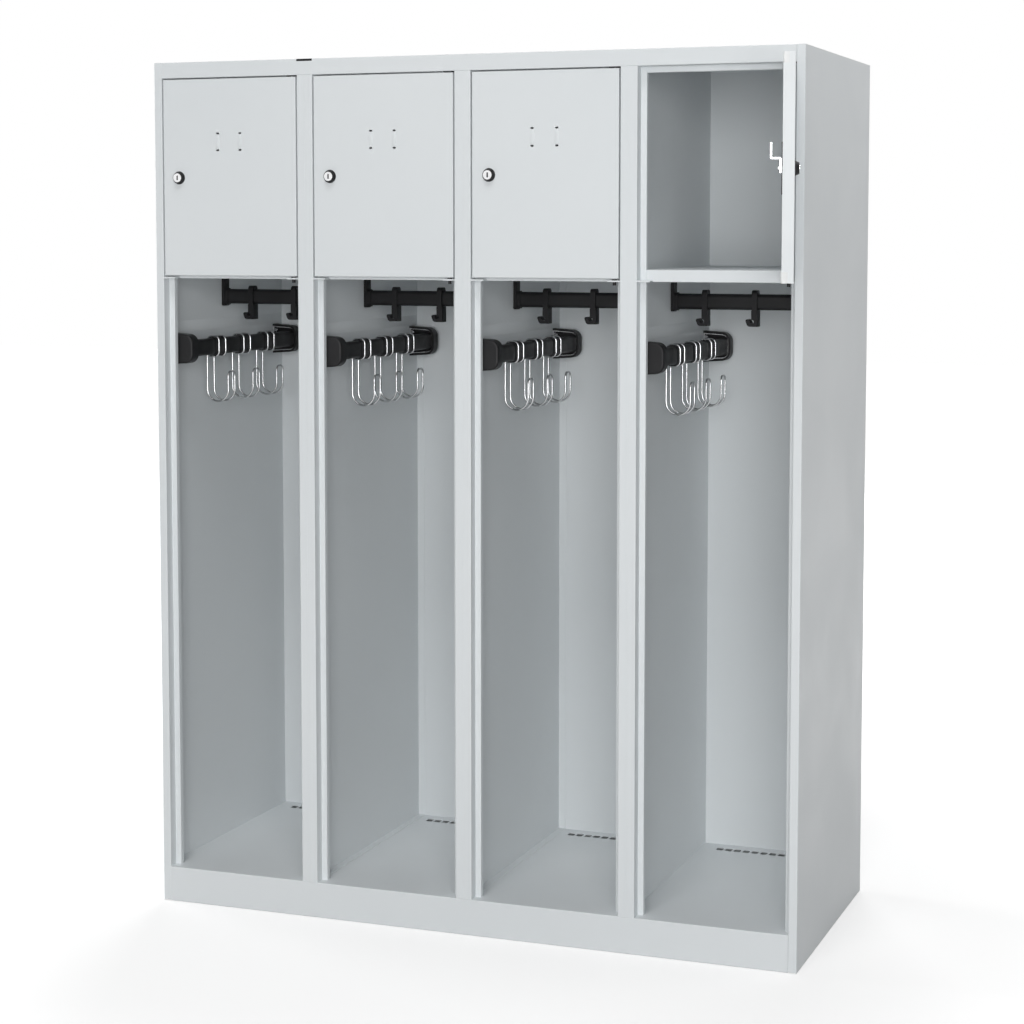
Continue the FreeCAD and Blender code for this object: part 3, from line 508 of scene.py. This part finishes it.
@dataclass
class WeldMarks:
    """Rows of shallow spot-weld marks on the rear sheet, over the flanges of the dividing walls."""

    diameter: float = 0.0060
    sides: int = 20
    dish: float = 0.0038
    slope_parts: int = 6
    proud: float = 0.00035
    sink_share: float = 0.7
    facing: float = 0.9
    from_wall: float = 0.0085
    rear: float = 0.2910
    lowest: float = 0.135
    pitch: float = 0.115
    count: int = 14

    def build(self, palette: Palette) -> None:
        """Models one row of marks up each dividing wall and dresses the rows.

        Args:
            palette: The materials.
        """
        for wall in range(1, BAYS):
            side = -1 if wall == BAYS - 1 else 1
            x = bay_edge(wall) + side * self.from_wall
            row = self._row(f"weld_marks_{wall}", Vector((x, self.rear, self.lowest)))
            palette.dress(row, Slot.PAINT)
            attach(row, "cabinet")
            LOG.info("made %s", row.name)

    def _row(self, name: str, first: Vector) -> bpy.types.Object:
        """Models a row of dished marks that rises from a first place.

        Args:
            name: The new object's name.
            first: Middle of the lowest mark, on the sheet.

        Returns:
            The new object, at the origin with its place in its mesh.
        """
        bpy.ops.object.select_all(action="DESELECT")
        middle = first + Vector((0.0, self.proud / 2, 0.0))
        bpy.ops.mesh.primitive_cylinder_add(vertices=self.sides, radius=self.diameter / 2, depth=self.proud,
                                            location=middle, rotation=(-math.pi / 2, 0.0, 0.0))
        row = bpy.context.object
        row.name = name
        bpy.ops.object.transform_apply(location=True, rotation=True, scale=True)
        bpy.ops.object.mode_set(mode="EDIT")
        bpy.ops.mesh.select_all(action="DESELECT")
        bpy.ops.object.mode_set(mode="OBJECT")
        for face in row.data.polygons:
            face.select = face.normal.y > self.facing
        bpy.ops.object.mode_set(mode="EDIT")
        bpy.ops.mesh.inset(thickness=(self.diameter - self.dish) / 2)
        bpy.ops.mesh.inset(thickness=self.dish / self.slope_parts)
        bpy.ops.transform.translate(value=(0.0, -self.sink_share * self.proud, 0.0))
        bpy.ops.object.mode_set(mode="OBJECT")
        rise = row.modifiers.new("rise", "ARRAY")
        rise.count = self.count
        rise.use_relative_offset = False
        rise.use_constant_offset = True
        rise.constant_offset_displace = (0.0, 0.0, self.pitch)
        bpy.ops.object.modifier_apply(modifier=rise.name)
        bpy.ops.object.shade_smooth_by_angle(angle=SMOOTH_ANGLE)
        return row


@dataclass
class SoftEdges:
    """Small roundings on the moulded pieces, whose solids have sharp edges."""

    moulded: tuple[str, ...] = ("rail_hook", "rail_brackets", "lock_housing", "door_caps")
    width: float = 0.0007
    merge: float = 0.00001
    sharp: float = math.radians(50.0)

    def build(self) -> None:
        """Puts a live rounding on each moulded node."""
        for name, node in frame["nodes"].items():
            if not name.startswith(self.moulded):
                continue
            weld = node.modifiers.new("merge", "WELD")
            weld.merge_threshold = self.merge
            soft = node.modifiers.new("rounding", "BEVEL")
            soft.width = self.width
            soft.segments = ROUND_STEPS
            soft.limit_method = "ANGLE"
            soft.angle_limit = self.sharp
            LOG.info("rounded %s", name)


@dataclass(frozen=True)
class SoftBox:
    """A square soft lamp, hidden from the camera."""

    name: str
    place: Point
    aim: Point
    size: float
    power: float

    def build(self) -> None:
        """Hangs the lamp and turns it to its aim."""
        bpy.ops.object.select_all(action="DESELECT")
        bpy.ops.object.light_add(type="AREA", location=self.place)
        lamp = bpy.context.object
        lamp.name = self.name
        lamp.data.size = self.size
        lamp.data.energy = self.power
        lamp.visible_camera = False
        lamp.rotation_euler = (Vector(self.aim) - Vector(self.place)).to_track_quat("-Z", "Y").to_euler()


SOFT_BOXES = (
    SoftBox("front_softbox", place=(3.6, -8.6, 1.9), aim=(0.0, 0.0, 0.9), size=4.0, power=390.0),
    SoftBox("low_softbox", place=(1.3, -9.0, 1.8), aim=(0.0, 0.0, 1.2), size=3.0, power=78.0),
    SoftBox("top_softbox", place=(0.6, -4.2, 8.5), aim=(0.0, 0.0, 0.8), size=3.0, power=240.0),
    SoftBox("right_softbox", place=(1.8, 0.2, 3.2), aim=(0.7, 0.0, 1.3), size=1.0, power=13.5),
    SoftBox("left_softbox", place=(-5.5, 0.6, 3.0), aim=(-0.7, 0.0, 1.0), size=3.0, power=170.0),
    SoftBox("rear_softbox", place=(-1.5, 8.0, 4.0), aim=(0.0, 0.3, 0.9), size=4.0, power=420.0),
)


@dataclass
class Studio:
    """Pale floor, soft lamps, white surroundings and the camera."""

    floor_half: float = 20.0
    floor_drop: float = 0.0005
    floor_tone: float = 0.55
    shade_near: float = 0.9
    shade_far: float = 2.4
    shade_glow: float = 0.52
    ambient: float = 0.10
    place: Point = (1.6870, -4.5069, 1.4452)
    yaw: float = math.radians(20.59)
    pitch: float = math.radians(4.525)
    lens: float = 78.93
    sensor: float = 36.0
    shift: float = -0.10
    reach: float = 200.0

    def build(self) -> None:
        """Sets up the whole studio."""
        bpy.context.scene.view_settings.view_transform = "Standard"
        self._floor()
        self._world()
        for lamp in SOFT_BOXES:
            lamp.build()
        self._camera()

    def _floor(self) -> None:
        """Adds the pale floor, which shows white but for the object's soft shadow near its middle."""
        bpy.ops.object.select_all(action="DESELECT")
        bpy.ops.mesh.primitive_plane_add(size=2 * self.floor_half, location=(0.0, 0.0, -self.floor_drop))
        floor = bpy.context.object
        floor.name = "studio_floor"
        made = bpy.data.materials.new("pale_floor")
        made.use_nodes = True
        graph = Graph(made.node_tree)
        nodes = made.node_tree.nodes
        nodes.remove(nodes["Principled BSDF"])
        tone = self.floor_tone
        matt = graph.node("ShaderNodeBsdfDiffuse", Color=(tone, tone, tone, 1.0))
        glow = graph.node("ShaderNodeEmission", Color=WHITE)
        spot = graph.node("ShaderNodeTexCoord")
        away = graph.node("ShaderNodeVectorMath", operation="LENGTH")
        level = graph.node("ShaderNodeMapRange", interpolation_type="SMOOTHSTEP", From_Min=self.shade_near,
                           From_Max=self.shade_far, To_Min=self.shade_glow, To_Max=1.0)
        shown = graph.node("ShaderNodeMath", operation="MULTIPLY")
        both = graph.node("ShaderNodeAddShader")
        graph.link(spot.outputs["Object"], away.inputs[0])
        graph.link(away.outputs["Value"], level.inputs["Value"])
        graph.link(self._seen(graph), shown.inputs[0])
        graph.link(level.outputs["Result"], shown.inputs[1])
        graph.link(shown.outputs["Value"], glow.inputs["Strength"])
        graph.link(matt.outputs["BSDF"], both.inputs[0])
        graph.link(glow.outputs["Emission"], both.inputs[1])
        graph.link(both.outputs["Shader"], nodes["Material Output"].inputs["Surface"])
        floor.data.materials.append(made)

    @staticmethod
    def _seen(graph: Graph) -> bpy.types.NodeSocket:
        """Adds a mask that is 1 for rays from the camera, in reflections and through glass.

        Args:
            graph: The node tree to add it to.

        Returns:
            The socket that puts out the mask.
        """
        rays = graph.node("ShaderNodeLightPath")
        mask = rays.outputs["Is Camera Ray"]
        for kind in ("Is Glossy Ray", "Is Transmission Ray"):
            either = graph.node("ShaderNodeMath", operation="MAXIMUM")
            graph.link(mask, either.inputs[0])
            graph.link(rays.outputs[kind], either.inputs[1])
            mask = either.outputs["Value"]
        return mask

    def _world(self) -> None:
        """Adds even ambient light, white to the camera and in reflections."""
        world = bpy.data.worlds.new("studio")
        bpy.context.scene.world = world
        world.use_nodes = True
        graph = Graph(world.node_tree)
        back = world.node_tree.nodes["Background"]
        back.inputs["Color"].default_value = WHITE
        level = graph.node("ShaderNodeMapRange", To_Min=self.ambient, To_Max=1.0)
        graph.link(self._seen(graph), level.inputs["Value"])
        graph.link(level.outputs["Result"], back.inputs["Strength"])

    def _camera(self) -> None:
        """Adds the camera at the photograph's viewpoint."""
        bpy.ops.object.select_all(action="DESELECT")
        bpy.ops.object.camera_add(location=self.place, rotation=(math.pi / 2 - self.pitch, 0.0, self.yaw))
        camera = bpy.context.object
        camera.data.lens = self.lens
        camera.data.sensor_width = self.sensor
        camera.data.shift_y = self.shift
        camera.data.clip_end = self.reach
        bpy.context.scene.camera = camera


def main() -> None:
    """Builds the looks in order."""
    logging.basicConfig(level=logging.INFO, format="%(name)s: %(message)s")
    palette = Palette()
    palette.dress_nodes()
    WallStrips().build(palette)
    LabelStrips().build(palette)
    KeywayShades().build(palette)
    WeldMarks().build(palette)
    SoftEdges().build()
    Studio().build()


if __name__ == "__main__":
    main()
